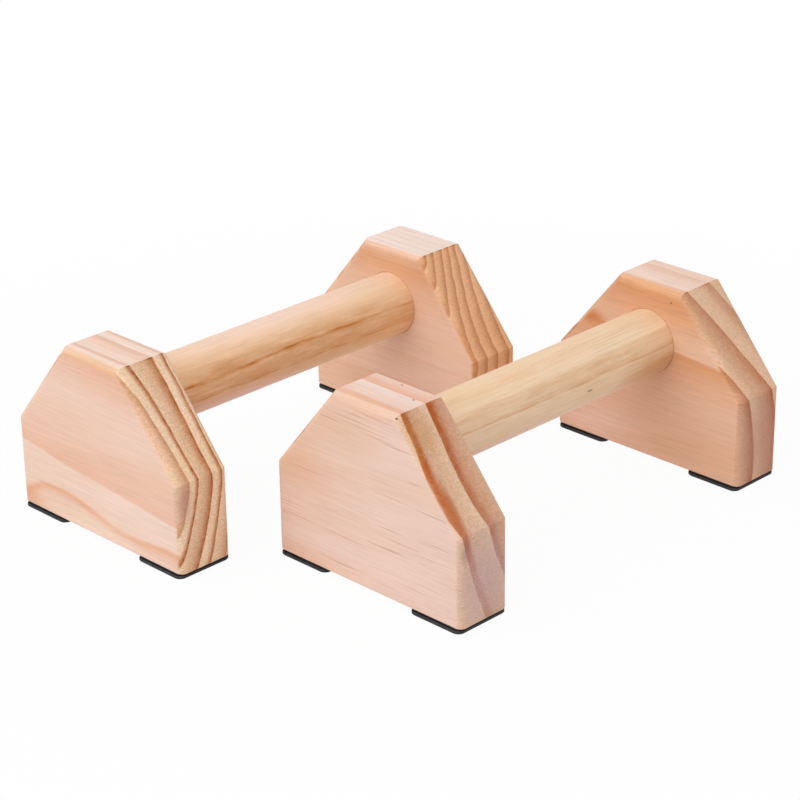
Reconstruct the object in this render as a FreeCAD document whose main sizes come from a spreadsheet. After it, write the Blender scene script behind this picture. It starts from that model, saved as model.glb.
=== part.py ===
import FreeCAD, Part
import os
import Sketcher

# A pair of low wooden parallette bars. Each bar is two six-sided end blocks, a round handle glued
# into a blind socket in each block, and four rubber pads held under the blocks by adhesive foam.
# Millimetres, +Z up, the floor at Z = 0. X runs along the bars, Y across them.

doc = FreeCAD.newDocument("Parallettes")
sheet = doc.addObject("Spreadsheet::Sheet", "Sizes")

DRIVING_SIZES = [
    ("blockWidth", 126.0, "end block across the bar, at its base"),
    ("blockTopWidth", 43.0, "flat top of the end block"),
    ("blockHeight", 98.5, "end block from its wooden base to its top"),
    ("shoulderHeight", 48.5, "upright side of the end block"),
    ("blockThickness", 33.0, "end block along the bar"),
    ("edgeRadius", 4.0, "roundover along the outline of both block faces"),
    ("baseEase", 0.6, "sanded chamfer round the block's base"),
    ("gripLength", 178.0, "handle between the two blocks"),
    ("handleDiameter", 35.0, "round handle"),
    ("handleHeight", 66.5, "handle axis above the block's base"),
    ("tenonDepth", 18.0, "handle end let into the block"),
    ("tenonChamfer", 1.0, "chamfer on the handle's ends"),
    ("glueGap", 0.25, "room for glue between handle and socket wall"),
    ("glueRelief", 0.05, "shrinkage of the cured glue from both round walls"),
    ("glueBed", 0.2, "glue between handle end and socket floor"),
    ("glueSetback", 0.05, "glue below the eased socket mouth"),
    ("mouthEase", 0.1, "chamfer at the socket mouth"),
    ("padLength", 33.5, "rubber pad across the bar"),
    ("padThickness", 1.7, "rubber pad"),
    ("padOverhang", 0.6, "pad standing out under each face of the block"),
    ("padInset", 0.8, "pad inside the block's upright side"),
    ("padCorner", 4.0, "upright corners of the pad"),
    ("padEdge", 0.35, "broken upper and lower edges of the pad"),
    ("foamThickness", 0.8, "adhesive foam on the pad"),
    ("foamMargin", 0.7, "foam inside the block's faces and the pad's ends"),
    ("barSpacing", 138.0, "from one bar's middle to the other's, across"),
    ("barStagger", 54.0, "from one bar's middle to the other's, along"),
]
for row, (alias, value, meaning) in enumerate(DRIVING_SIZES, start=1):
    sheet.set(f"A{row}", meaning)
    sheet.set(f"B{row}", str(value))
    sheet.setAlias(f"B{row}", alias)
doc.recompute()

NEAR_ZERO = 1e-4
sub_parts = []


def size(alias):
    return float(sheet.get(alias))


def worth(formula):
    """What a formula over the sheet comes to, in millimetres."""
    return float(sheet.evalExpression(formula.replace("Sizes.", "")))


def new_body(label, x, y, z, turned=False):
    """Start one sub-part at a place given by formulas, turned half round if it faces the other way."""
    body = doc.addObject("PartDesign::Body", label)
    body.Label = label
    half_turn = FreeCAD.Rotation(FreeCAD.Vector(0, 0, 1), 180 if turned else 0)
    body.Placement = FreeCAD.Placement(FreeCAD.Vector(0, 0, 0), half_turn)
    for axis, formula in zip("xyz", (x, y, z)):
        body.setExpression(f"Placement.Base.{axis}", formula)
    sub_parts.append(body)
    return body


def new_sketch(body, role):
    sketch = body.newObject("Sketcher::SketchObject", body.Label + "_sketch")
    plane = next(feature for feature in body.Origin.OriginFeatures if feature.Role == role)
    sketch.AttachmentSupport = [(plane, "")]
    sketch.MapMode = "FlatFace"
    return sketch


def draw_outline(sketch, points):
    """Closed outline of straight lines, line i running from point i to the next."""
    count = len(points)
    for i in range(count):
        start = FreeCAD.Vector(*points[i], 0)
        end = FreeCAD.Vector(*points[(i + 1) % count], 0)
        sketch.addGeometry(Part.LineSegment(start, end), False)
    for i in range(count):
        sketch.addConstraint(Sketcher.Constraint("Coincident", i, 2, (i + 1) % count, 1))


def constrain(sketch, *rules):
    for rule in rules:
        sketch.addConstraint(Sketcher.Constraint(*rule))


def dimension(sketch, name, formula, kind, *references):
    """Dimension of a sketch, driven by a formula over the sheet."""
    index = sketch.addConstraint(Sketcher.Constraint(kind, *references, worth(formula)))
    sketch.renameConstraint(index, name)
    sketch.setExpression(f"Constraints.{name}", formula)


def new_feature(body, kind, **bindings):
    """Feature of a body whose sizes are bound to formulas over the sheet."""
    feature = body.newObject(f"PartDesign::{kind}", f"{body.Label}_{kind.lower()}")
    for prop, formula in bindings.items():
        feature.setExpression(prop, formula)
    return feature


def dress_edges(body, kind, wanted, **bindings):
    """Fillet or chamfer the edges of the body's last solid that a test picks."""
    doc.recompute()
    base = body.Tip
    names = [f"Edge{n}" for n, edge in enumerate(base.Shape.Edges, start=1) if wanted(edge)]
    feature = new_feature(body, kind, **bindings)
    feature.Base = (base, names)
    return feature


def lies_at(edge, axis, *places):
    """Whether the whole edge lies in one of the planes where the axis has these values."""
    box = edge.BoundBox
    low, high = getattr(box, axis + "Min"), getattr(box, axis + "Max")
    return any(abs(low - place) < NEAR_ZERO and abs(high - place) < NEAR_ZERO for place in places)


def make_block(label, x, y, z, turned):
    """End block. Its inner face is at X = 0, its base at Z = 0, and its socket opens to -X."""
    body = new_body(label, x, y, z, turned)
    half_base, half_top = size("blockWidth") / 2, size("blockTopWidth") / 2
    shoulder, top = size("shoulderHeight"), size("blockHeight")
    outline = new_sketch(body, "YZ_Plane")
    base_line, right_side, right_slope, top_line, left_slope, left_side = range(6)
    draw_outline(outline, [
        (-half_base, 0), (half_base, 0), (half_base, shoulder),
        (half_top, top), (-half_top, top), (-half_base, shoulder),
    ])
    constrain(
        outline,
        ("Vertical", right_side), ("Vertical", left_side),
        ("PointOnObject", base_line, 1, -1),
        ("Symmetric", base_line, 1, base_line, 2, -2),
        ("Symmetric", top_line, 1, top_line, 2, -2),
        ("Equal", right_side, left_side),
    )
    dimension(outline, "base", "Sizes.blockWidth", "DistanceX", base_line, 1, base_line, 2)
    dimension(outline, "top", "Sizes.blockTopWidth", "DistanceX", top_line, 2, top_line, 1)
    dimension(outline, "side", "Sizes.shoulderHeight", "DistanceY", right_side, 1, right_side, 2)
    dimension(outline, "height", "Sizes.blockHeight", "DistanceY", base_line, 2, top_line, 1)
    board = new_feature(body, "Pad", Length="Sizes.blockThickness")
    board.Profile = outline

    thickness = size("blockThickness")
    dress_edges(
        body, "Fillet",
        lambda edge: lies_at(edge, "X", 0, thickness) and not lies_at(edge, "Z", 0),
        Radius="Sizes.edgeRadius",
    )
    dress_edges(body, "Chamfer", lambda edge: lies_at(edge, "Z", 0), Size="Sizes.baseEase")

    mouth = new_sketch(body, "YZ_Plane")
    centre = FreeCAD.Vector(0, size("handleHeight"), 0)
    mouth.addGeometry(Part.Circle(centre, FreeCAD.Vector(0, 0, 1), size("handleDiameter") / 2), False)
    constrain(mouth, ("PointOnObject", 0, 3, -2))
    dimension(mouth, "axis", "Sizes.handleHeight", "DistanceY", -1, 1, 0, 3)
    dimension(mouth, "bore", "Sizes.handleDiameter + 2 * Sizes.glueGap", "Diameter", 0)
    socket = new_feature(body, "Pocket", Length="Sizes.tenonDepth + Sizes.glueBed")
    socket.Profile = mouth
    socket.Reversed = True
    dress_edges(
        body, "Chamfer",
        lambda edge: lies_at(edge, "X", 0) and isinstance(edge.Curve, Part.Circle),
        Size="Sizes.mouthEase",
    )


def make_handle(label, x, y, z):
    """Round handle about X, middle at X = 0, both ends long enough to fill the sockets."""
    body = new_body(label, x, y, z)
    section = new_sketch(body, "YZ_Plane")
    section.addGeometry(
        Part.Circle(FreeCAD.Vector(0, 0, 0), FreeCAD.Vector(0, 0, 1), size("handleDiameter") / 2), False)
    constrain(section, ("Coincident", 0, 3, -1, 1))
    dimension(section, "diameter", "Sizes.handleDiameter", "Diameter", 0)
    dowel = new_feature(body, "Pad", Length="Sizes.gripLength + 2 * Sizes.tenonDepth")
    dowel.Profile = section
    dowel.SideType = "Symmetric"
    half_length = size("gripLength") / 2 + size("tenonDepth")
    dress_edges(
        body, "Chamfer", lambda edge: lies_at(edge, "X", -half_length, half_length),
        Size="Sizes.tenonChamfer",
    )


def make_socket_glue(label, x, y, z, turned):
    """Cup of cured glue about X, its rim just below the socket mouth at X = 0."""
    body = new_body(label, x, y, z, turned)
    inside = size("handleDiameter") / 2 + size("glueRelief")
    outside = size("handleDiameter") / 2 + size("glueGap") - size("glueRelief")
    depth, bed = size("tenonDepth"), size("glueBed")
    rim = size("mouthEase") + size("glueSetback")
    section = new_sketch(body, "XZ_Plane")
    inner_wall, seat, middle, floor, outer_wall, rim_line = range(6)
    draw_outline(section, [
        (rim, inside), (depth, inside), (depth, 0),
        (depth + bed, 0), (depth + bed, outside), (rim, outside),
    ])
    constrain(
        section,
        ("Horizontal", inner_wall), ("Vertical", seat), ("Horizontal", middle),
        ("Vertical", floor), ("Horizontal", outer_wall), ("Vertical", rim_line),
        ("PointOnObject", middle, 1, -1),
    )
    dimension(section, "rim", "Sizes.mouthEase + Sizes.glueSetback", "DistanceX", -1, 1, rim_line, 1)
    dimension(section, "depth", "Sizes.tenonDepth", "DistanceX", -1, 1, seat, 2)
    dimension(section, "bed", "Sizes.glueBed", "DistanceX", middle, 1, middle, 2)
    inside_formula = "Sizes.handleDiameter / 2 + Sizes.glueRelief"
    wall_formula = "Sizes.glueGap - 2 * Sizes.glueRelief"
    dimension(section, "inside", inside_formula, "DistanceY", -1, 1, inner_wall, 1)
    dimension(section, "wall", wall_formula, "DistanceY", rim_line, 2, rim_line, 1)
    cup = new_feature(body, "Revolution")
    cup.Profile = section
    cup.ReferenceAxis = (section, ["H_Axis"])


def make_sheet(label, x, y, z, depth, length, thickness):
    """Thin rectangle under a block, centred on the Z axis: a rubber pad or its adhesive foam."""
    body = new_body(label, x, y, z)
    outline = new_sketch(body, "XY_Plane")
    half_depth, half_length = worth(depth) / 2, worth(length) / 2
    bottom, right, top, left = range(4)
    draw_outline(outline, [
        (-half_depth, -half_length), (half_depth, -half_length),
        (half_depth, half_length), (-half_depth, half_length),
    ])
    constrain(
        outline,
        ("Horizontal", bottom), ("Horizontal", top), ("Vertical", right), ("Vertical", left),
        ("Symmetric", bottom, 1, top, 1, -1, 1),
    )
    dimension(outline, "depth", depth, "DistanceX", bottom, 1, bottom, 2)
    dimension(outline, "length", length, "DistanceY", right, 1, right, 2)
    slab = new_feature(body, "Pad", Length=thickness)
    slab.Profile = outline
    return body


def make_pad(label, x, y):
    """Rubber pad on the floor, standing out under both faces of the block, its edges broken."""
    depth = "Sizes.blockThickness + 2 * Sizes.padOverhang"
    body = make_sheet(label, x, y, "0", depth, "Sizes.padLength", "Sizes.padThickness")
    dress_edges(
        body, "Fillet", lambda edge: edge.BoundBox.ZLength > NEAR_ZERO, Radius="Sizes.padCorner")
    dress_edges(
        body, "Chamfer", lambda edge: lies_at(edge, "Z", 0, size("padThickness")), Size="Sizes.padEdge")


def make_foam(label, x, y):
    """Adhesive foam between a pad and the block's base, its corners cut round with the pad's."""
    depth = "Sizes.blockThickness - 2 * Sizes.foamMargin"
    length = "Sizes.padLength - 2 * Sizes.foamMargin"
    body = make_sheet(label, x, y, "Sizes.padThickness", depth, length, "Sizes.foamThickness")
    dress_edges(
        body, "Fillet", lambda edge: edge.BoundBox.ZLength > NEAR_ZERO,
        Radius="Sizes.padCorner - Sizes.foamMargin",
    )


def make_bar(bar, across, along):
    """One bar. The signs say on which side of the pair's middle it stands, across and along."""
    middle_x = f"{along} * Sizes.barStagger / 2"
    middle_y = f"{across} * Sizes.barSpacing / 2"
    base = "Sizes.padThickness + Sizes.foamThickness"
    axis = f"{base} + Sizes.handleHeight"
    make_handle(f"{bar}_handle", middle_x, middle_y, axis)
    for end, way in (("near", -1), ("far", 1)):
        inner_face = f"{middle_x} + {way} * Sizes.gripLength / 2"
        block_middle = f"{inner_face} + {way} * Sizes.blockThickness / 2"
        make_block(f"{bar}_{end}_block", inner_face, middle_y, base, way < 0)
        make_socket_glue(f"{bar}_{end}_socket_glue", inner_face, middle_y, axis, way < 0)
        for side, towards in (("inner", -across), ("outer", across)):
            reach = "Sizes.blockWidth / 2 - Sizes.padInset - Sizes.padLength / 2"
            pad_y = f"{middle_y} + {towards} * ({reach})"
            pad = f"{bar}_{end}_{side}_pad"
            make_pad(pad, block_middle, pad_y)
            make_foam(f"{pad}_adhesive", block_middle, pad_y)


make_bar("right", across=-1, along=1)
make_bar("left", across=1, along=-1)
doc.recompute()

failed = [item.Label for item in doc.Objects if {"Invalid", "Error"} & set(item.State)]
if failed:
    raise RuntimeError("failed features: " + ", ".join(failed))
for body in sub_parts:
    if body.Shape.isNull() or not body.Shape.isValid() or len(body.Shape.Solids) != 1:
        raise RuntimeError("not one valid solid: " + body.Label)

os.makedirs("parts", exist_ok=True)
for body in sub_parts:
    body.Shape.exportStep(f"parts/{body.Label}.step")
    print(f"{body.Label}: {body.Shape.Volume:.1f} mm3")
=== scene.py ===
import math
import bpy
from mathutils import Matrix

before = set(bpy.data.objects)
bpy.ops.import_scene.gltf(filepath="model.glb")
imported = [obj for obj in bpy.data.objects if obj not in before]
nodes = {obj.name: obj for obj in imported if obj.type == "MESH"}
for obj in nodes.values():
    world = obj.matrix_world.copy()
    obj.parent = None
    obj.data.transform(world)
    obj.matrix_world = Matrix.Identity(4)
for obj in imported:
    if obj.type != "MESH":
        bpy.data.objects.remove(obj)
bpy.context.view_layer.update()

print("frame loaded:", len(nodes), "pieces of two bars")


# small helpers for the node trees

def paint(red, green, blue):  # 0 to 255 as a screen shows it, to the linear colour that nodes take
    levels = [v / 255 for v in (red, green, blue)]
    return tuple(v / 12.92 if v <= 0.04045 else ((v + 0.055) / 1.055) ** 2.4 for v in levels) + (1.0,)


def addNode(tree, kind, wires=None, **settings):
    node = tree.nodes.new(kind)
    for name, value in settings.items():
        setattr(node, name, value)
    for socket, value in (wires or {}).items():
        if isinstance(value, bpy.types.NodeSocket):
            tree.links.new(value, node.inputs[socket])
        else:
            node.inputs[socket].default_value = value
    return node


def calc(tree, operation, first, second=0.0, third=0.0):
    return addNode(tree, "ShaderNodeMath", {0: first, 1: second, 2: third}, operation=operation).outputs[0]


def vectorCalc(tree, operation, first, second=(0, 0, 0)):
    return addNode(tree, "ShaderNodeVectorMath", {0: first, 1: second}, operation=operation)


def fade(tree, value, low, high, start=0.0, end=1.0):  # smooth step from start to end between two levels
    wires = {0: value, 1: low, 2: high, 3: start, 4: end}
    return addNode(tree, "ShaderNodeMapRange", wires, interpolation_type="SMOOTHSTEP").outputs[0]


def mixColor(tree, amount, first, second, mode="MIX"):
    wires = {0: amount, 6: first, 7: second}
    return addNode(tree, "ShaderNodeMix", wires, data_type="RGBA", blend_type=mode).outputs[2]


def noise(tree, place, scale, stretch=(1, 1, 1), detail=2.0, roughness=0.5):
    spot = vectorCalc(tree, "MULTIPLY", place, stretch).outputs[0]
    wires = {"Vector": spot, "Scale": scale, "Detail": detail, "Roughness": roughness}
    return addNode(tree, "ShaderNodeTexNoise", wires).outputs["Fac"]


def table(tree, value, stops):  # levels read off along a value, each stop a place and a level
    low, high = stops[0][0], stops[-1][0]
    spot = addNode(tree, "ShaderNodeMapRange", {0: value, 1: low, 2: high}).outputs[0]
    ramp = addNode(tree, "ShaderNodeValToRGB", {0: spot})
    points = ramp.color_ramp.elements
    for place, level in stops[1:-1]:
        points.new((place - low) / (high - low)).color = (level, level, level, 1)
    points[0].color = (stops[0][1],) * 3 + (1,)
    points[len(stops) - 1].color = (stops[-1][1],) * 3 + (1,)
    return ramp.outputs[0]


def newGroup(name, inputs, outputs):
    group = bpy.data.node_groups.new(name, "ShaderNodeTree")
    for socket, kind in inputs:
        group.interface.new_socket(socket, in_out="INPUT", socket_type="NodeSocket" + kind)
    for socket in outputs:
        group.interface.new_socket(socket, in_out="OUTPUT", socket_type="NodeSocketFloat")
    return group, group.nodes.new("NodeGroupInput").outputs, group.nodes.new("NodeGroupOutput").inputs


def useGroup(tree, group, wires):
    return addNode(tree, "ShaderNodeGroup", wires, node_tree=group).outputs


def startMaterial(name):
    mat = bpy.data.materials.new(name)
    mat.use_nodes = True
    mat.node_tree.nodes.clear()
    return mat, mat.node_tree, addNode(mat.node_tree, "ShaderNodeTexCoord").outputs


def addBump(tree, relief, look):
    wires = {"Height": relief, "Strength": look["bump"], "Distance": look["bumpDepth"]}
    if "edge" in look:  # sharp edges are rounded off a little
        rounded = addNode(tree, "ShaderNodeBevel", {"Radius": look["edge"]}, samples=look["edgeSamples"])
        wires["Normal"] = rounded.outputs[0]
    return addNode(tree, "ShaderNodeBump", wires).outputs[0]


def endMaterial(tree, wires):
    shader = addNode(tree, "ShaderNodeBsdfPrincipled", wires)
    addNode(tree, "ShaderNodeOutputMaterial", {"Surface": shader.outputs[0]})


# growth rings in millimetres: Place is depth under the face, run along the fibres, height over the bow
# the rings bow aside below and above that height, more so near the face where they fan out
ringNoise = {
    "Wander": {"stretch": (1, 0.4, 1), "scale": 0.02, "detail": 1.0, "roughness": 0.4},
    "Wiggle": {"stretch": (1, 0.25, 1), "scale": 0.12},
}


def makeRingGroup():
    inputs = ["Bow", "Fan Depth", "Below", "Below Fan", "Above", "Above Fan", "Wander", "Wiggle"]
    inputs = [("Place", "Vector")] + [(socket, "Float") for socket in inputs]
    group, given, result = newGroup("growthRings", inputs, ["Ring"])
    parts = addNode(group, "ShaderNodeSeparateXYZ", {0: given["Place"]}).outputs
    fan = calc(group, "MAXIMUM", calc(group, "SUBTRACT", given["Fan Depth"], parts[0]), 0.0)
    ring = parts[0]
    for side, limit in (("Below", "MINIMUM"), ("Above", "MAXIMUM")):
        away = calc(group, limit, parts[2], 0.0)
        bend = calc(group, "MULTIPLY_ADD", away, away, calc(group, "MULTIPLY", given["Bow"], given["Bow"]))
        bend = calc(group, "SUBTRACT", calc(group, "SQRT", bend), given["Bow"])
        lean = calc(group, "MULTIPLY_ADD", fan, given[side + " Fan"], given[side])
        ring = calc(group, "MULTIPLY_ADD", bend, lean, ring)
    for unrest, look in ringNoise.items():
        drift = calc(group, "SUBTRACT", noise(group, given["Place"], **look), 0.5)
        ring = calc(group, "MULTIPLY_ADD", drift, given[unrest], ring)
    group.links.new(ring, result["Ring"])
    return group


# fibres along Y: fine lines on long grain, the same pattern cut across is the speckle of end grain
fibreNoise = {
    "Fibre": {"stretch": (1, 0.035, 1), "scale": 0.75, "detail": 3.0, "roughness": 0.65},
    "Hair": {"stretch": (1, 0.03, 1), "scale": 2.2, "roughness": 0.65},
    "Pore": {"stretch": (0.55, 0.05, 1), "scale": 1.2, "detail": 3.0, "roughness": 0.7},
    "Tone": {"stretch": (1, 0.16, 1), "scale": 0.05},
    "Patch": {"stretch": (1, 0.16, 1), "scale": 0.3, "detail": 4.0, "roughness": 0.7},
}
streaks = {  # long thin lines, lying in clusters
    "line": {"stretch": (1, 0.01, 1), "scale": 2.3, "roughness": 0.6}, "lineEdge": 0.05,
    "cluster": {"stretch": (1, 0.3, 1), "scale": 0.07, "detail": 1.0}, "clusterFade": (0.36, 0.6),
}
canals = {  # short resin canals, some of the cells of a pattern
    "stretch": (1, 0.09, 1), "scale": 0.24, "size": (0.03, 0.075), "share": (0.5, 0.9),
}


def makeFibreGroup():
    inputs = [("Place", "Vector"), ("Streak Level", "Float")]
    group, given, result = newGroup("fibreGrain", inputs, list(fibreNoise) + ["Streak", "Canal"])
    place, level = given["Place"], given["Streak Level"]
    for output, look in fibreNoise.items():
        group.links.new(noise(group, place, **look), result[output])
    streak = noise(group, place, **streaks["line"])
    streak = fade(group, streak, level, calc(group, "ADD", level, streaks["lineEdge"]))
    cluster = fade(group, noise(group, place, **streaks["cluster"]), *streaks["clusterFade"])
    group.links.new(calc(group, "MULTIPLY", streak, cluster), result["Streak"])
    spot = vectorCalc(group, "MULTIPLY", place, canals["stretch"]).outputs[0]
    cells = addNode(group, "ShaderNodeTexVoronoi", {"Vector": spot, "Scale": canals["scale"]}).outputs
    dash = fade(group, cells["Distance"], *canals["size"], 1.0, 0.0)
    draw = addNode(group, "ShaderNodeSeparateColor", {0: cells["Color"]}).outputs[0]
    chosen = fade(group, draw, *canals["share"])
    group.links.new(calc(group, "MULTIPLY", dash, chosen), result["Canal"])
    return group


# soft-edged ellipsoid, centre and half sizes in millimetres: a fleck, a stain, a patch of painted light and
# shade, a place where bands swell

def makeSpotGroup():
    inputs = [("Place", "Vector"), ("Centre", "Vector"), ("Size", "Vector"), ("Core", "Float")]
    group, given, result = newGroup("softSpot", inputs, ["Mark"])
    away = vectorCalc(group, "SUBTRACT", given["Place"], given["Centre"]).outputs[0]
    away = vectorCalc(group, "DIVIDE", away, given["Size"]).outputs[0]
    away = vectorCalc(group, "LENGTH", away).outputs["Value"]
    group.links.new(fade(group, away, given["Core"], 1.0, 1.0, 0.0), result["Mark"])
    return group


ringGroup = makeRingGroup()
fibreGroup = makeFibreGroup()
spotGroup = makeSpotGroup()
print("grain groups ready")


def spotMark(tree, place, centre, size, core):
    return useGroup(tree, spotGroup, {"Place": place, "Centre": centre, "Size": size, "Core": core})["Mark"]


millimetres = (1000, 1000, 1000)  # from the frame's metres
# what all the pine shares; a turn is how squarely a surface must face to count as end, face or top
pineFinish = {
    "endTurn": (0.15, 0.6), "faceTurn": (0.8, 0.99), "topTurn": (0.8, 0.99),
    "breakFade": (0.35, 0.7), "lineFade": (0.86, 1.0), "toneFade": (0.35, 0.65), "fibreFade": (0.3, 0.7),
    "swayNoise": {"stretch": (1, 0.35, 1), "scale": 0.04}, "swellCore": 0.0,
    "stainAndLightCore": 0.1, "mottleFade": (0.36, 0.64), "mottle": (0.82, 1.12),
    "fleckCore": 0.5, "fleckAmount": 0.85,
    "ringRelief": 0.5, "hairRelief": 0.8, "bump": 0.3, "bumpDepth": 0.0002, "edge": 0.0006, "edgeSamples": 4,
    "rough": (0.48, 0.62), "specular": 0.4, "sheen": 0.15, "sheenRough": 0.4,
}


def makeLateWood(tree, look, at, fibre):
    # by the rings where the end grain and the top cut them
    wires = {"Place": at["place"], "Bow": look["bow"], "Fan Depth": look["fanDepth"]}
    wires.update({"Below": look["below"][0], "Below Fan": look["below"][1]})
    wires.update({"Above": look["above"][0], "Above Fan": look["above"][1]})
    wires.update({"Wander": look["wander"], "Wiggle": look["wiggle"]})
    late = table(tree, useGroup(tree, ringGroup, wires)["Ring"], look["rings"])
    gaps = fade(tree, fibre["Patch"], *pineFinish["breakFade"], 1.0, 1 - look["breaks"])
    late = calc(tree, "MULTIPLY", late, gaps)
    if look["lateZones"]:  # how strong the late wood shows, by height
        late = calc(tree, "MULTIPLY", late, table(tree, at["height"], look["lateZones"]))
    if not look["bands"]:
        return late

    # the broad faces run almost level with the rings and show wide soft bands
    level = calc(tree, "MULTIPLY_ADD", at["run"], -look["bandLean"], at["height"])
    sway = calc(tree, "SUBTRACT", noise(tree, at["place"], **pineFinish["swayNoise"]), 0.5)
    level = calc(tree, "MULTIPLY_ADD", sway, look["bandSway"], level)
    for centre, size, lift in look["swells"]:
        mark = spotMark(tree, at["spot"], centre, size, pineFinish["swellCore"])
        level = calc(tree, "MULTIPLY_ADD", mark, lift, level)
    broad = fade(tree, calc(tree, "ABSOLUTE", at["facing"][0]), *pineFinish["faceTurn"])
    wires = {0: broad, 2: late, 3: table(tree, level, look["bands"])}
    return addNode(tree, "ShaderNodeMix", wires).outputs[0]


def makePineColor(tree, look, at, fibre, late):
    # early and late wood, by how far the surface cuts across the fibres
    along = vectorCalc(tree, "DOT_PRODUCT", at["normal"], look["fibreAxis"]).outputs["Value"]
    endGrain = fade(tree, calc(tree, "ABSOLUTE", along), *pineFinish["endTurn"])
    longGrain = calc(tree, "SUBTRACT", 1.0, endGrain)
    early = mixColor(tree, endGrain, look["faceEarly"], look["endEarly"])
    deep = mixColor(tree, endGrain, look["faceLate"], look["endLate"])
    color = mixColor(tree, late, early, deep)
    line = fade(tree, late, *pineFinish["lineFade"], 0.0, look["lineAmount"])
    line = calc(tree, "MULTIPLY", line, fade(tree, endGrain, 0.0, 1.0, look["lineLong"], 1.0))
    color = mixColor(tree, line, color, look["lineColor"])
    # painted sheen: surfaces facing up are washed paler, standing in for the glare of the light from above
    topSheen = calc(tree, "MULTIPLY", fade(tree, at["facing"][2], *pineFinish["topTurn"]), look["topAmount"])
    color = mixColor(tree, topSheen, color, look["topColor"])

    # stains, and patches of painted light and shade, on all of the surface or on one kind of grain
    where = {"all": 1.0, "end": endGrain, "long": longGrain}
    for centre, size, tint, amount, grain in look["stains"]:
        mark = spotMark(tree, at["spot"], centre, size, pineFinish["stainAndLightCore"])
        mark = calc(tree, "MULTIPLY", mark, where[grain])
        least, most = [share * amount for share in pineFinish["mottle"]]
        mottle = fade(tree, fibre["Pore"], *pineFinish["mottleFade"], least, most)
        color = mixColor(tree, calc(tree, "MULTIPLY", mark, mottle), color, tint)

    # slow change of tone, then fibres and the grit of cut pores
    tone = calc(tree, "MULTIPLY", fade(tree, fibre["Tone"], *pineFinish["toneFade"]), look["toneAmount"])
    color = mixColor(tree, tone, color, look["toneColor"], "MULTIPLY")
    levels = (1 - look["fibreAmount"], 1 + look["fibreAmount"])
    shade = fade(tree, fibre["Fibre"], *pineFinish["fibreFade"], *levels)
    color = mixColor(tree, 1.0, color, shade, "MULTIPLY")
    speckle = calc(tree, "MULTIPLY_ADD", endGrain, look["speckleAmount"], look["hairAmount"])
    grit = calc(tree, "SUBTRACT", calc(tree, "ADD", fibre["Hair"], fibre["Pore"]), 1.0)
    color = mixColor(tree, 1.0, color, calc(tree, "MULTIPLY_ADD", grit, speckle, 1.0), "MULTIPLY")

    # dark marks on top
    streak = calc(tree, "MULTIPLY", calc(tree, "MULTIPLY", fibre["Streak"], longGrain), look["streakAmount"])
    if look["streakZones"]:  # how thick the streaks lie, by height
        streak = calc(tree, "MULTIPLY", streak, table(tree, at["height"], look["streakZones"]))
    color = mixColor(tree, streak, color, look["streakColor"])
    canal = calc(tree, "MULTIPLY", fibre["Canal"], look["canalAmount"])
    color = mixColor(tree, canal, color, look["canalColor"])
    for centre, size in look["flecks"]:
        mark = spotMark(tree, at["spot"], centre, size, pineFinish["fleckCore"])
        mark = calc(tree, "MULTIPLY", mark, pineFinish["fleckAmount"])
        color = mixColor(tree, mark, color, look["fleckColor"])
    return color


def makePine(name, look):
    mat, tree, coords = startMaterial(name)
    turn = [math.radians(v) for v in look["turn"]]
    wires = {"Vector": coords["Object"], "Location": look["slide"], "Rotation": turn, "Scale": millimetres}
    at = {"normal": coords["Normal"]}
    at["place"] = addNode(tree, "ShaderNodeMapping", wires).outputs[0]  # in the wood
    at["spot"] = vectorCalc(tree, "MULTIPLY", coords["Object"], millimetres).outputs[0]  # in the frame
    at["run"] = addNode(tree, "ShaderNodeSeparateXYZ", {0: at["place"]}).outputs[1]
    at["height"] = addNode(tree, "ShaderNodeSeparateXYZ", {0: at["spot"]}).outputs[2]
    at["facing"] = addNode(tree, "ShaderNodeSeparateXYZ", {0: at["normal"]}).outputs
    fibre = useGroup(tree, fibreGroup, {"Place": at["place"], "Streak Level": look["streakLevel"]})
    late = makeLateWood(tree, look, at, fibre)
    hairs = calc(tree, "MULTIPLY", fibre["Hair"], pineFinish["hairRelief"])
    relief = calc(tree, "MULTIPLY_ADD", late, pineFinish["ringRelief"], hairs)
    wires = {"Base Color": makePineColor(tree, look, at, fibre, late)}
    wires["Normal"] = addBump(tree, relief, pineFinish)
    wires["Roughness"] = fade(tree, fibre["Fibre"], *pineFinish["fibreFade"], *pineFinish["rough"])
    wires["Specular IOR Level"] = pineFinish["specular"]
    wires["Sheen Weight"] = pineFinish["sheen"]  # raised fibres catch the light
    wires["Sheen Roughness"] = pineFinish["sheenRough"]
    endMaterial(tree, wires)
    return mat


# slide takes the visible face to depth 0 and the bow of the rings to height 0
# rings lists depths with how dark the wood is there, 0 early wood and 1 late wood, bands the same by height
# a stain, or a patch of painted light and shade, has its centre and half sizes in the frame, its tint, how
# strong it is and on which grain
pineBoard = {
    "turn": (0, 0, 0), "fibreAxis": (0, 1, 0), "fanDepth": 24, "lateZones": [],
    "wander": 4.0, "wiggle": 1.2, "breaks": 0.15,
    "bandLean": 0.0, "bandSway": 6.0, "bands": [(0, 0.1), (100, 0.1)], "swells": [], "stains": [],
    "faceEarly": paint(241, 213, 198), "faceLate": paint(228, 150, 96),
    "endEarly": paint(247, 216, 183), "endLate": paint(182, 94, 0),
    # painted sheen on the tops: the pale colour, and how strongly upward faces take it
    "topColor": paint(255, 236, 228), "topAmount": 0.5,
    "lineAmount": 0.0, "lineLong": 0.3, "lineColor": paint(104, 56, 20),
    "toneAmount": 0.45, "toneColor": paint(250, 242, 227),
    "fibreAmount": 0.045, "hairAmount": 0.14, "speckleAmount": 0.6,
    "streakLevel": 0.6, "streakAmount": 0.3, "streakColor": paint(176, 114, 90), "streakZones": [],
    "canalAmount": 0.25, "canalColor": paint(150, 92, 66),
    "flecks": [], "fleckColor": paint(84, 58, 48),
}

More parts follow.
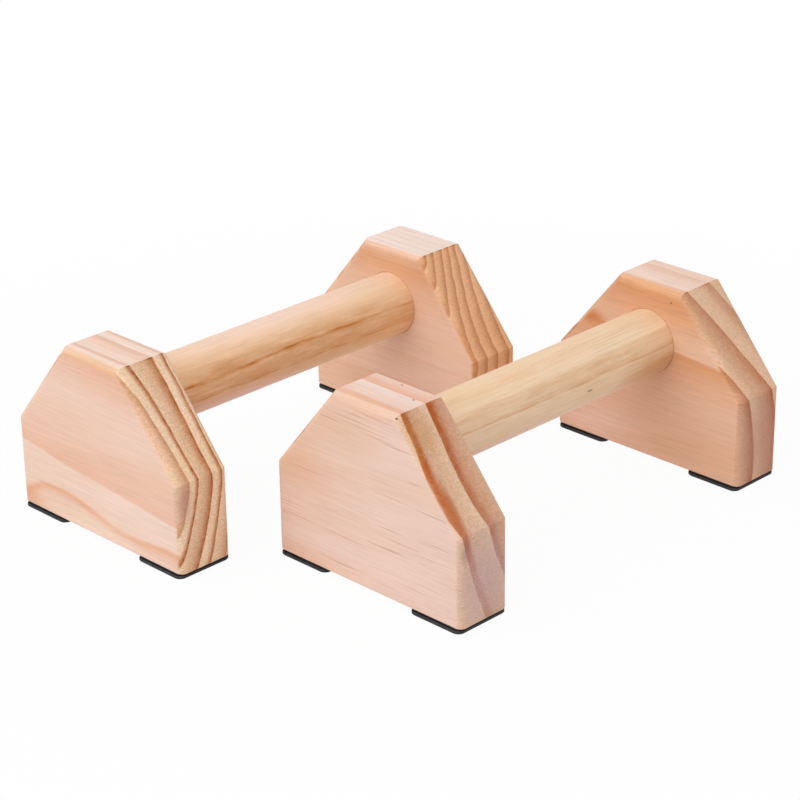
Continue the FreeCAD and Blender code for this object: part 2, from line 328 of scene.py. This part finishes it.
leftNearBlock = dict(pineBoard, slide=(149, -69, -50), bow=8, below=(0.25, 0.0065), above=(0.0, 0.009))
leftNearBlock.update(
    rings=[
        (-14, 0.3), (0, 0.06), (3, 0.12), (6, 0.34), (8.3, 0.68), (8.8, 0.72), (9.1, 0.02), (11.8, 0.06),
        (12.7, 0.4), (13.4, 0.85), (14.3, 1.0), (14.7, 0.14), (17, 0.24), (19.6, 0.42), (21, 0.66),
        (22.5, 0.9), (23.3, 1.0), (23.7, 0.0), (26, 0.0), (27.2, 0.16), (28.2, 0.6), (29, 0.9),
        (29.6, 0.95), (29.9, 0.0), (34, 0.2), (37.5, 0.55), (38.8, 0.92), (39.1, 0.05), (45, 0.5),
        (46.3, 0.8), (46.6, 0.05), (53, 0.3),
    ],
    lateZones=[(0, 1.0), (100.4, 1.0), (100.9, 1.4), (102, 1.4)],
    bandLean=0.093, bandSway=4.0,
    bands=[
        (-6, 0.2), (5, 0.1), (7, 0.22), (8, 0.08), (11, 0.26), (13.6, 0.6), (14.8, 0.52), (16, 0.1),
        (19, 0.0), (32.8, 0.0), (33.8, 0.42), (40, 0.36), (50, 0.28), (62, 0.15), (76, 0.17), (86, 0.32),
        (98, 0.5), (110, 0.52),
    ],
    swells=[
        ((-149, 140, -2), (40, 34, 44), 16.0), ((-149, 94, 18), (40, 30, 20), -3.0),
        ((-149, 52, 10), (40, 24, 16), 2.0), ((-149, 12, 14), (40, 26, 16), -4.0),
        ((-149, 92, 66), (40, 46, 14), -8.0),
    ],
    stains=[
        ((-149, 22, 74), (6.5, 30, 36), paint(236, 172, 138), 0.5, "end"),
        ((-145, 6, 42), (7, 10, 16), paint(180, 130, 118), 0.55, "end"),
        ((-149, 130, 5), (8, 24, 13), paint(226, 160, 114), 0.55, "long"),
        ((-149, 74, 7), (8, 44, 10), paint(244, 220, 200), 0.6, "long"),
        ((-149, 69, 101), (5, 70, 6), paint(230, 182, 132), 0.7, "long"),
    ],
    lineAmount=0.95, streakAmount=0.12, flecks=[((-147.5, 56.5, 98.9), (1.5, 0.5, 0.5))],
)

rightNearBlock = dict(pineBoard, slide=(95, 69, -67), bow=22, below=(-0.653, 0.0071), above=(-0.32, 0.0037))
rightNearBlock.update(
    fanDepth=60,
    rings=[
        (-24, 0.12), (-8, 0.1), (0.75, 0.04), (1.0, 0.95), (2.9, 1.0), (4.2, 0.74), (5.2, 0.38), (8, 0.22),
        (11, 0.18), (14, 0.06), (16.9, 0.0), (17.3, 0.95), (19.5, 0.9), (22.5, 0.55), (30, 0.26), (36, 0.03),
        (36.4, 0.8), (44, 0.3),
    ],
    lateZones=[(0, 0.6), (20, 0.75), (48, 0.95), (53, 0.88), (76, 1.0), (102, 1.2)],
    faceEarly=paint(239, 211, 199), endEarly=paint(237, 199, 168), endLate=paint(180, 85, 0), topAmount=0.3,
    stains=[
        ((-90.6, -121, 62), (4.2, 26, 20), paint(188, 94, 8), 0.75, "end"),
        ((-87, -97, 92), (15, 26, 17), paint(200, 140, 78), 0.4, "end"),
        # painted cool shade on the lower part of the side face
        ((-78, -134, 24), (34, 12, 40), paint(198, 166, 172), 0.58, "end"),
        ((-91.5, -134, 43), (4, 9, 10), paint(150, 98, 92), 0.5, "end"),
        ((-95, -18, 58), (8, 40, 26), paint(230, 182, 146), 0.6, "long"),
        ((-95, -48, 84), (8, 44, 28), paint(226, 186, 150), 0.5, "long"),
        ((-95, -69, 101), (8, 60, 10), paint(234, 188, 154), 0.6, "long"),
        ((-95, -20, 4), (8, 50, 14), paint(232, 182, 150), 0.5, "long"),
    ],
    streakAmount=0.4, streakLevel=0.57, streakColor=paint(184, 88, 58), hairAmount=0.12, fibreAmount=0.038,
    streakZones=[
        (0, 0.15), (9, 0.7), (14, 0.2), (21, 0.35), (27, 1.0), (34, 0.7), (45, 0.3), (52, 0.3), (58, 0.7),
        (66, 0.15), (78, 0.4), (84, 1.0), (97, 1.0), (99, 0.5), (102, 0.3),
    ],
    flecks=[
        ((-67, -67.2, 101), (0.5, 1.2, 0.6)), ((-75.8, -83.6, 101), (0.8, 1.0, 0.6)),
        ((-94, -90.5, 99.4), (0.6, 1.2, 0.8)),
    ],
)
grainLine = {"face": -95, "depth": 3, "thick": 0.38, "tint": paint(178, 82, 62)}
grainLines = [  # the darkest lines on its face: across, height, half length, strength
    (-82, 28.8, 20, 0.7), (-88, 29.6, 12, 0.45), (-86, 39.8, 11, 0.55), (-117, 41.5, 15, 0.5),
    (-110, 40.4, 12, 0.35), (-53, 25.2, 24, 0.5), (-24, 25.6, 18, 0.35), (-50, 10.0, 22, 0.55),
    (-92, 84.3, 14, 0.6), (-80, 85.4, 20, 0.4), (-59, 90.2, 22, 0.55), (-63, 93.2, 15, 0.5),
    (-45, 86.4, 14, 0.5), (-70, 87.8, 26, 0.35), (-76, 95.6, 20, 0.35), (-87, 57.4, 20, 0.35),
    (-112, 56.8, 18, 0.45), (-93, 35.0, 18, 0.4), (-100, 13.5, 20, 0.35), (-25, 53.4, 18, 0.35),
    (-102, 69.7, 8, 0.4), (-110, 17.8, 18, 0.3), (-112, 33.2, 16, 0.35),
]
for across, height, half, amount in grainLines:
    centre, size = (grainLine["face"], across, height), (grainLine["depth"], half, grainLine["thick"])
    rightNearBlock["stains"].append((centre, size, grainLine["tint"], amount, "long"))

leftFarBlock = dict(pineBoard, slide=(-62, -69, -52), bow=80, below=(0.2, 0), above=(-0.262, -0.0315))
leftFarBlock.update(
    fanDepth=60, wander=1.5, wiggle=2.6,
    lateZones=[(0, 1.0), (100.4, 1.0), (100.9, 2.4), (102, 2.4)],
    bandLean=0.03, bandSway=8.0,
    bands=[
        (0, 0.24), (12, 0.32), (23.5, 0.4), (24.5, 0.16), (40, 0.2), (41.5, 0.42), (43, 0.1), (62, 0.14),
        (78, 0.42), (86, 0.7), (92, 0.85), (96, 0.6), (101, 0.55),
    ],
    faceEarly=paint(246, 210, 190), faceLate=paint(224, 162, 112),
    endEarly=paint(245, 194, 151), endLate=paint(180, 104, 38),
    # a stronger painted sheen on its top
    topAmount=0.68, topColor=paint(255, 243, 244), streakAmount=0.2, speckleAmount=0.45,
)
ringEdges = (-20.9, -13.1, -4.4, 3.3, 10.9, 19.1, 28)  # where each year's late wood ends
ringRise = [(-4.4, 0.26), (-2, 0.6), (-0.6, 0.78), (0, 0.04)]  # how it darkens up to that edge
rings = [(edge + before, level) for edge in ringEdges for before, level in ringRise]
leftFarBlock["rings"] = [(-30, 0.3)] + rings + [(40, 0.6)]

rightFarBlock = dict(pineBoard, slide=(-116, 69, -15), bow=40, below=(0.534, 0), above=(0.534, 0))
rightFarBlock.update(
    rings=[
        (-25, 0.2), (-8, 0.5), (-5, 0.75), (-4.6, 0.1), (2, 0.15), (8, 0.5), (12, 0.85), (13.4, 1.0),
        (13.9, 0.1), (17.5, 0.16), (21, 0.36), (26, 0.55), (31, 0.8), (33.4, 1.0), (33.9, 0.08), (40, 0.12),
        (44, 0.3), (48, 0.6), (52, 0.8), (52.5, 0.08), (60, 0.3),
    ],
    lateZones=[(0, 1.2), (49, 1.2), (53, 0.9), (100.4, 0.8), (100.9, 1.6), (102, 1.6)],
    bandLean=0.08, bandSway=3.0,
    bands=[
        (0, 0.2), (20, 0.3), (45, 0.24), (60, 0.5), (68.6, 0.85), (69.6, 0.1), (78, 0.12), (84, 0.4),
        (92, 0.75), (97, 0.85), (101, 0.6),
    ],
    faceEarly=paint(240, 200, 174), faceLate=paint(222, 154, 102),
    endEarly=paint(238, 198, 164), endLate=paint(180, 94, 32),
    stains=[
        ((116, -69, 101), (6, 60, 8), paint(236, 178, 128), 0.8, "long"),
        ((116, -27, 73), (6, 18, 6), paint(216, 142, 86), 1.0, "long"),
        # painted light: a pale patch that lifts the shade the handle and near block cast on the lower face
        ((116, -34, 8), (6, 50, 30), paint(244, 204, 186), 0.8, "long"),
        # painted cool shade on the lower part of the side face
        ((132, -134, 24), (36, 12, 40), paint(190, 134, 118), 0.5, "end"),
    ],
    topAmount=0.48, streakAmount=0.35, speckleAmount=0.4, flecks=[((116, -83.8, 94.3), (0.8, 0.7, 0.7))],
)

# the handles' rings lie level: depth is counted down from the axis, the fibres run along X
pineDowel = dict(
    pineBoard, turn=(-90, 0, 90), fibreAxis=(1, 0, 0), bow=10, below=(0, 0), above=(0, 0), bands=[],
    wander=2.0, wiggle=3.6, fibreAmount=0.04, hairAmount=0.1, topAmount=0.0, lineAmount=0.5, lineLong=1.0,
    endEarly=paint(232, 194, 150), endLate=paint(170, 112, 66),
)

leftHandle = dict(pineDowel, slide=(69, 0, 69), breaks=0.55, wiggle=4.2, lineAmount=0.6)
leftHandle.update(
    rings=[
        (-20, 0.02), (-16, 0.09), (-12, 0.26), (-8.5, 0.5), (-6.8, 0.52), (-6, 0.98), (-5.3, 0.86),
        (-4.4, 0.5), (0, 0.53), (3, 0.66), (3.8, 0.84), (4.5, 0.46), (8, 0.32), (20, 0.16),
    ],
    faceEarly=paint(250, 212, 172), faceLate=paint(206, 122, 0), streakAmount=0.25,
    stains=[
        ((-72, 53.4, 77), (18, 7, 6), paint(206, 132, 60), 0.5, "all"),
        ((58, 54, 60), (44, 16, 16), paint(252, 200, 146), 0.35, "all"),
        ((60, 54, 78), (40, 14, 9), paint(250, 212, 176), 0.55, "all"),
        # painted bounce light from the floor along the underside
        ((-74, 60, 54), (90, 18, 13), paint(255, 212, 204), 0.95, "all"),
        # painted highlight along the top of the handle
        ((-20, 70, 89), (170, 22, 13), paint(250, 218, 202), 0.85, "all"),
    ],
)

rightHandle = dict(pineDowel, slide=(69, 400, -69), breaks=0.5, hairAmount=0.06)
rightHandle.update(
    rings=[
        (-18, 0.2), (-16.6, 0.3), (-15.2, 0.18), (-14.4, 0.06), (-12.6, 0.04), (-11.6, 0.3), (-9, 0.5),
        (-7, 0.36), (-5, 0.46), (-3.5, 0.66), (-3.0, 0.24), (0, 0.26), (9, 0.32), (17, 0.3),
    ],
    faceEarly=paint(252, 224, 192), faceLate=paint(216, 146, 70), streakAmount=0.3,
    stains=[
        # painted bounce light from the floor along the underside
        ((-6, -80, 54), (100, 16, 11), paint(244, 208, 200), 0.6, "all"),
        ((106, -84, 62), (44, 12, 16), paint(200, 136, 76), 0.75, "all"),
    ],
    flecks=[((49.2, -86.3, 66.5), (2.6, 0.8, 0.5))],
)

pineLooks = {
    "left_near_block": leftNearBlock, "right_near_block": rightNearBlock,
    "left_far_block": leftFarBlock, "right_far_block": rightFarBlock,
    "left_handle": leftHandle, "right_handle": rightHandle,
}
for node, look in pineLooks.items():
    nodes[node].material_slots[0].material = makePine(node + "_pine", look)
print("pine on blocks and handles")


# rubber sheet, matt and a little dusty, with a fine pressed grain
padRubber = {
    "dark": paint(20, 18, 24), "dusty": paint(46, 44, 52), "dustFade": (0.45, 0.75),
    "grain": {"scale": 1800, "roughness": 0.6}, "dust": {"scale": 220, "detail": 3.0, "roughness": 0.6},
    "bump": 0.4, "bumpDepth": 0.0001, "edge": 0.0003, "edgeSamples": 6,
    "grainFade": (0.3, 0.7), "rough": (0.5, 0.7),
}


def makeRubber(name, look):
    mat, tree, coords = startMaterial(name)
    grain = noise(tree, coords["Object"], **look["grain"])
    dust = fade(tree, noise(tree, coords["Object"], **look["dust"]), *look["dustFade"])
    wires = {"Base Color": mixColor(tree, dust, look["dark"], look["dusty"])}
    wires["Normal"] = addBump(tree, grain, look)
    wires["Roughness"] = fade(tree, grain, *look["grainFade"], *look["rough"])
    endMaterial(tree, wires)
    return mat


# black foam with open cells between pad and wood, dried wood glue in the sockets
cloudy = {"detail": 3.0, "roughness": 0.55, "fade": (0.35, 0.65), "bump": 0.2, "bumpDepth": 0.0001}
padFoam = dict(cloudy, thin=paint(30, 29, 33), thick=paint(14, 14, 16), rough=(0.8, 0.95), cells=2600)
socketGlue = dict(cloudy, thin=paint(226, 206, 160), thick=paint(206, 178, 120))
socketGlue.update(rough=(0.25, 0.45), cells=260)


def makeCloudy(name, look):
    mat, tree, coords = startMaterial(name)
    cloud = noise(tree, coords["Object"], look["cells"], detail=look["detail"], roughness=look["roughness"])
    cloud = fade(tree, cloud, *look["fade"])
    wires = {"Base Color": mixColor(tree, cloud, look["thin"], look["thick"])}
    wires["Normal"] = addBump(tree, cloud, look)
    wires["Roughness"] = fade(tree, cloud, 0.0, 1.0, *look["rough"])
    endMaterial(tree, wires)
    return mat


finishes = {
    "_pad": makeRubber("padRubber", padRubber),
    "_adhesive": makeCloudy("padFoam", padFoam),
    "_glue": makeCloudy("socketGlue", socketGlue),
}
for node, piece in nodes.items():
    for ending, mat in finishes.items():
        if node.endswith(ending):
            piece.material_slots[0].material = mat
print("rubber, foam and glue")


# camera as the photograph has it
cameraLook = {
    "place": (-0.84239, -0.84177, 0.57846), "turn": (66.1159, 0.7567, -45.31),
    "lens": 112.49, "sensor": 36,
}
cameraData = bpy.data.cameras.new("camera")
cameraData.lens = cameraLook["lens"]
cameraData.sensor_width = cameraLook["sensor"]
camera = bpy.data.objects.new("camera", cameraData)
camera.location = cameraLook["place"]
camera.rotation_euler = [math.radians(v) for v in cameraLook["turn"]]
bpy.context.scene.collection.objects.link(camera)
bpy.context.scene.camera = camera

# soft light from above and the left, a weak fill from the right
lampLooks = {
    "key": {"place": (-1.2, 0.2, 1.55), "size": 2.4, "power": 26, "color": (1.0, 0.97, 0.93)},
    "fill": {"place": (0.5, -1.5, 0.9), "size": 1.4, "power": 2.6, "color": (0.86, 0.89, 1.0)},
}
for name, look in lampLooks.items():
    lampData = bpy.data.lights.new(name, "AREA")
    lampData.energy = look["power"]
    lampData.color = look["color"]
    lampData.size = look["size"]
    lamp = bpy.data.objects.new(name, lampData)
    lamp.location = look["place"]
    lamp.rotation_euler = lamp.location.to_track_quat("Z", "Y").to_euler()
    bpy.context.scene.collection.objects.link(lamp)

# white all round; the floor keeps a little of its shading near the bars, and goes to plain white further out
studio = {
    "white": (1, 1, 1, 1), "sky": 0.55, "floorSize": 8, "floorColor": paint(238, 238, 240), "floorRough": 0.9,
    "whiteFade": (0.2, 0.6), "whiteShare": (0.955, 1.0),
}


def showWhite(tree, kind, lit, amount):  # what the camera and reflections see is mostly plain white
    path = addNode(tree, "ShaderNodeLightPath").outputs
    seen = calc(tree, "MAXIMUM", path["Is Camera Ray"], path["Is Glossy Ray"])
    seen = calc(tree, "MAXIMUM", seen, path["Is Transmission Ray"])
    white = addNode(tree, kind, {"Color": studio["white"], "Strength": 1.0}).outputs[0]
    wires = {0: calc(tree, "MULTIPLY", seen, amount), 1: lit, 2: white}
    return addNode(tree, "ShaderNodeMixShader", wires).outputs[0]


world = bpy.data.worlds.new("studio")
bpy.context.scene.world = world
world.use_nodes = True
tree = world.node_tree
tree.nodes.clear()
sky = addNode(tree, "ShaderNodeBackground", {"Color": studio["white"], "Strength": studio["sky"]}).outputs[0]
sky = showWhite(tree, "ShaderNodeBackground", sky, 1.0)
addNode(tree, "ShaderNodeOutputWorld", {"Surface": sky})

bpy.ops.object.select_all(action="DESELECT")
bpy.ops.mesh.primitive_plane_add(size=studio["floorSize"], location=(0, 0, 0))
floor = bpy.context.object
floor.name = "floor"
floorMat, tree, coords = startMaterial("floor_white")
wires = {"Base Color": studio["floorColor"], "Roughness": studio["floorRough"], "Specular IOR Level": 0.0}
lit = addNode(tree, "ShaderNodeBsdfPrincipled", wires).outputs[0]
away = vectorCalc(tree, "LENGTH", coords["Object"]).outputs["Value"]
amount = fade(tree, away, *studio["whiteFade"], *studio["whiteShare"])
lit = showWhite(tree, "ShaderNodeEmission", lit, amount)
addNode(tree, "ShaderNodeOutputMaterial", {"Surface": lit})
floor.data.materials.append(floorMat)
bpy.context.scene.view_settings.view_transform = "Standard"
print("camera, light and floor ready")
